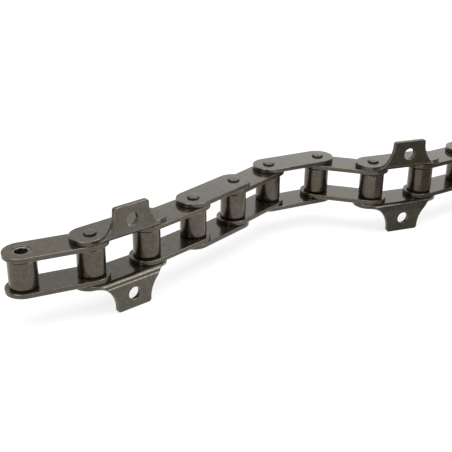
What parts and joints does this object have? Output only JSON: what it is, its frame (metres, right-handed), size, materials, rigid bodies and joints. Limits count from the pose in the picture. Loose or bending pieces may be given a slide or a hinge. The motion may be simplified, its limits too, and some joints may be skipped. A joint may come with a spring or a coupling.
{
  "type": "conveyor chain",
  "caption": "Run of steel roller conveyor chain with loose rollers on bushes, riveted pins, open inner links at both ends and bent, drilled attachment tabs on some of the outer links.",
  "frame": {"origin": "centre of the first bush's bore at mid-width of the chain", "axes": "+X runs from the first bush to the last, along the row's length; +Z is along the pins and bushes, towards the upper plates; +Y completes the frame, away from the side that the attachment tabs are on"},
  "size_m": [0.4576, 0.0697, 0.0702],
  "materials": {
    "inner_plate_steel": "oiled, heat treated, satin",
    "outer_plate_steel": "oiled, heat treated, satin",
    "attachment_plate_steel": "oiled, heat treated, satin",
    "bush_steel": "turned, satin",
    "roller_steel": "turned, semi-gloss",
    "pin_steel": "turned, riveted ends"
  },
  "bodies": {
    "inner_link_1": {"inner_plate_1_upper": "inner_plate_steel", "inner_plate_1_lower": "inner_plate_steel", "bush_01": "bush_steel", "bush_02": "bush_steel"},
    "outer_link_1": {"attachment_plate_1_upper": "attachment_plate_steel", "attachment_plate_1_lower": "attachment_plate_steel", "pin_02": "pin_steel", "pin_03": "pin_steel"},
    "inner_link_2": {"inner_plate_2_upper": "inner_plate_steel", "inner_plate_2_lower": "inner_plate_steel", "bush_03": "bush_steel", "bush_04": "bush_steel"},
    "outer_link_2": {"outer_plate_2_upper": "outer_plate_steel", "outer_plate_2_lower": "outer_plate_steel", "pin_04": "pin_steel", "pin_05": "pin_steel"},
    "inner_link_3": {"inner_plate_3_upper": "inner_plate_steel", "inner_plate_3_lower": "inner_plate_steel", "bush_05": "bush_steel", "bush_06": "bush_steel"},
    "outer_link_3": {"outer_plate_3_upper": "outer_plate_steel", "outer_plate_3_lower": "outer_plate_steel", "pin_06": "pin_steel", "pin_07": "pin_steel"},
    "inner_link_4": {"inner_plate_4_upper": "inner_plate_steel", "inner_plate_4_lower": "inner_plate_steel", "bush_07": "bush_steel", "bush_08": "bush_steel"},
    "outer_link_4": {"attachment_plate_4_upper": "attachment_plate_steel", "attachment_plate_4_lower": "attachment_plate_steel", "pin_08": "pin_steel", "pin_09": "pin_steel"},
    "inner_link_5": {"inner_plate_5_upper": "inner_plate_steel", "inner_plate_5_lower": "inner_plate_steel", "bush_09": "bush_steel", "bush_10": "bush_steel"},
    "outer_link_5": {"outer_plate_5_upper": "outer_plate_steel", "outer_plate_5_lower": "outer_plate_steel", "pin_10": "pin_steel", "pin_11": "pin_steel"},
    "inner_link_6": {"inner_plate_6_upper": "inner_plate_steel", "inner_plate_6_lower": "inner_plate_steel", "bush_11": "bush_steel", "bush_12": "bush_steel"},
    "loose_roller_01": {"roller_01": "roller_steel"},
    "loose_roller_02": {"roller_02": "roller_steel"},
    "loose_roller_03": {"roller_03": "roller_steel"},
    "loose_roller_04": {"roller_04": "roller_steel"},
    "loose_roller_05": {"roller_05": "roller_steel"},
    "loose_roller_06": {"roller_06": "roller_steel"},
    "loose_roller_07": {"roller_07": "roller_steel"},
    "loose_roller_08": {"roller_08": "roller_steel"},
    "loose_roller_09": {"roller_09": "roller_steel"},
    "loose_roller_10": {"roller_10": "roller_steel"},
    "loose_roller_11": {"roller_11": "roller_steel"},
    "loose_roller_12": {"roller_12": "roller_steel"}
  },
  "joints": [
    {"name": "pin_02_hinge", "type": "hinge", "parent": "inner_link_1", "child": "outer_link_1", "pos_m": [0.04106, -0.00526, 0], "axis": [0, 0, 1], "range_deg": [-76.3, 43.7]},
    {"name": "pin_03_hinge", "type": "hinge", "parent": "outer_link_1", "child": "inner_link_2", "pos_m": [0.08195, 0.00122, 0], "axis": [0, 0, -1], "range_deg": [-54.4, 65.6]},
    {"name": "pin_04_hinge", "type": "hinge", "parent": "inner_link_2", "child": "outer_link_2", "pos_m": [0.12202, 0.01165, 0], "axis": [0, 0, 1], "range_deg": [-63.2, 56.8]},
    {"name": "pin_05_hinge", "type": "hinge", "parent": "outer_link_2", "child": "inner_link_3", "pos_m": [0.16144, 0.02431, 0], "axis": [0, 0, -1], "range_deg": [-58.3, 61.7]},
    {"name": "pin_06_hinge", "type": "hinge", "parent": "inner_link_3", "child": "outer_link_3", "pos_m": [0.20046, 0.03813, 0], "axis": [0, 0, 1], "range_deg": [-34.8, 85.2]},
    {"name": "pin_07_hinge", "type": "hinge", "parent": "outer_link_3", "child": "inner_link_4", "pos_m": [0.24166, 0.03402, 0], "axis": [0, 0, -1], "range_deg": [-101.1, 18.9]},
    {"name": "pin_08_hinge", "type": "hinge", "parent": "inner_link_4", "child": "outer_link_4", "pos_m": [0.27, 0.00384, 0], "axis": [0, 0, 1], "range_deg": [-94.9, 25.1]},
    {"name": "pin_09_hinge", "type": "hinge", "parent": "outer_link_4", "child": "inner_link_5", "pos_m": [0.31051, -0.0047, 0], "axis": [0, 0, -1], "range_deg": [-47.2, 72.8]},
    {"name": "pin_10_hinge", "type": "hinge", "parent": "inner_link_5", "child": "outer_link_5", "pos_m": [0.3519, -0.00405, 0], "axis": [0, 0, 1], "range_deg": [-63.3, 56.7]},
    {"name": "pin_11_hinge", "type": "hinge", "parent": "outer_link_5", "child": "inner_link_6", "pos_m": [0.39319, -0.00102, 0], "axis": [0, 0, -1], "range_deg": [-62.5, 57.5]},
    {"name": "roller_01_spin", "type": "hinge", "parent": "inner_link_1", "child": "loose_roller_01", "pos_m": [0, 0, 0], "axis": [0, 0, 1], "continuous": true},
    {"name": "roller_02_spin", "type": "hinge", "parent": "inner_link_1", "child": "loose_roller_02", "pos_m": [0.04106, -0.00526, 0], "axis": [0, 0, 1], "continuous": true},
    {"name": "roller_03_spin", "type": "hinge", "parent": "inner_link_2", "child": "loose_roller_03", "pos_m": [0.08195, 0.00122, 0], "axis": [0, 0, 1], "continuous": true},
    {"name": "roller_04_spin", "type": "hinge", "parent": "inner_link_2", "child": "loose_roller_04", "pos_m": [0.12202, 0.01165, 0], "axis": [0, 0, 1], "continuous": true},
    {"name": "roller_05_spin", "type": "hinge", "parent": "inner_link_3", "child": "loose_roller_05", "pos_m": [0.16144, 0.02431, 0], "axis": [0, 0, 1], "continuous": true},
    {"name": "roller_06_spin", "type": "hinge", "parent": "inner_link_3", "child": "loose_roller_06", "pos_m": [0.20046, 0.03813, 0], "axis": [0, 0, 1], "continuous": true},
    {"name": "roller_07_spin", "type": "hinge", "parent": "inner_link_4", "child": "loose_roller_07", "pos_m": [0.24166, 0.03402, 0], "axis": [0, 0, 1], "continuous": true},
    {"name": "roller_08_spin", "type": "hinge", "parent": "inner_link_4", "child": "loose_roller_08", "pos_m": [0.27, 0.00384, 0], "axis": [0, 0, 1], "continuous": true},
    {"name": "roller_09_spin", "type": "hinge", "parent": "inner_link_5", "child": "loose_roller_09", "pos_m": [0.31051, -0.0047, 0], "axis": [0, 0, 1], "continuous": true},
    {"name": "roller_10_spin", "type": "hinge", "parent": "inner_link_5", "child": "loose_roller_10", "pos_m": [0.3519, -0.00405, 0], "axis": [0, 0, 1], "continuous": true},
    {"name": "roller_11_spin", "type": "hinge", "parent": "inner_link_6", "child": "loose_roller_11", "pos_m": [0.39319, -0.00102, 0], "axis": [0, 0, 1], "continuous": true},
    {"name": "roller_12_spin", "type": "hinge", "parent": "inner_link_6", "child": "loose_roller_12", "pos_m": [0.43457, 0.00021, 0], "axis": [0, 0, 1], "continuous": true}
  ]
}
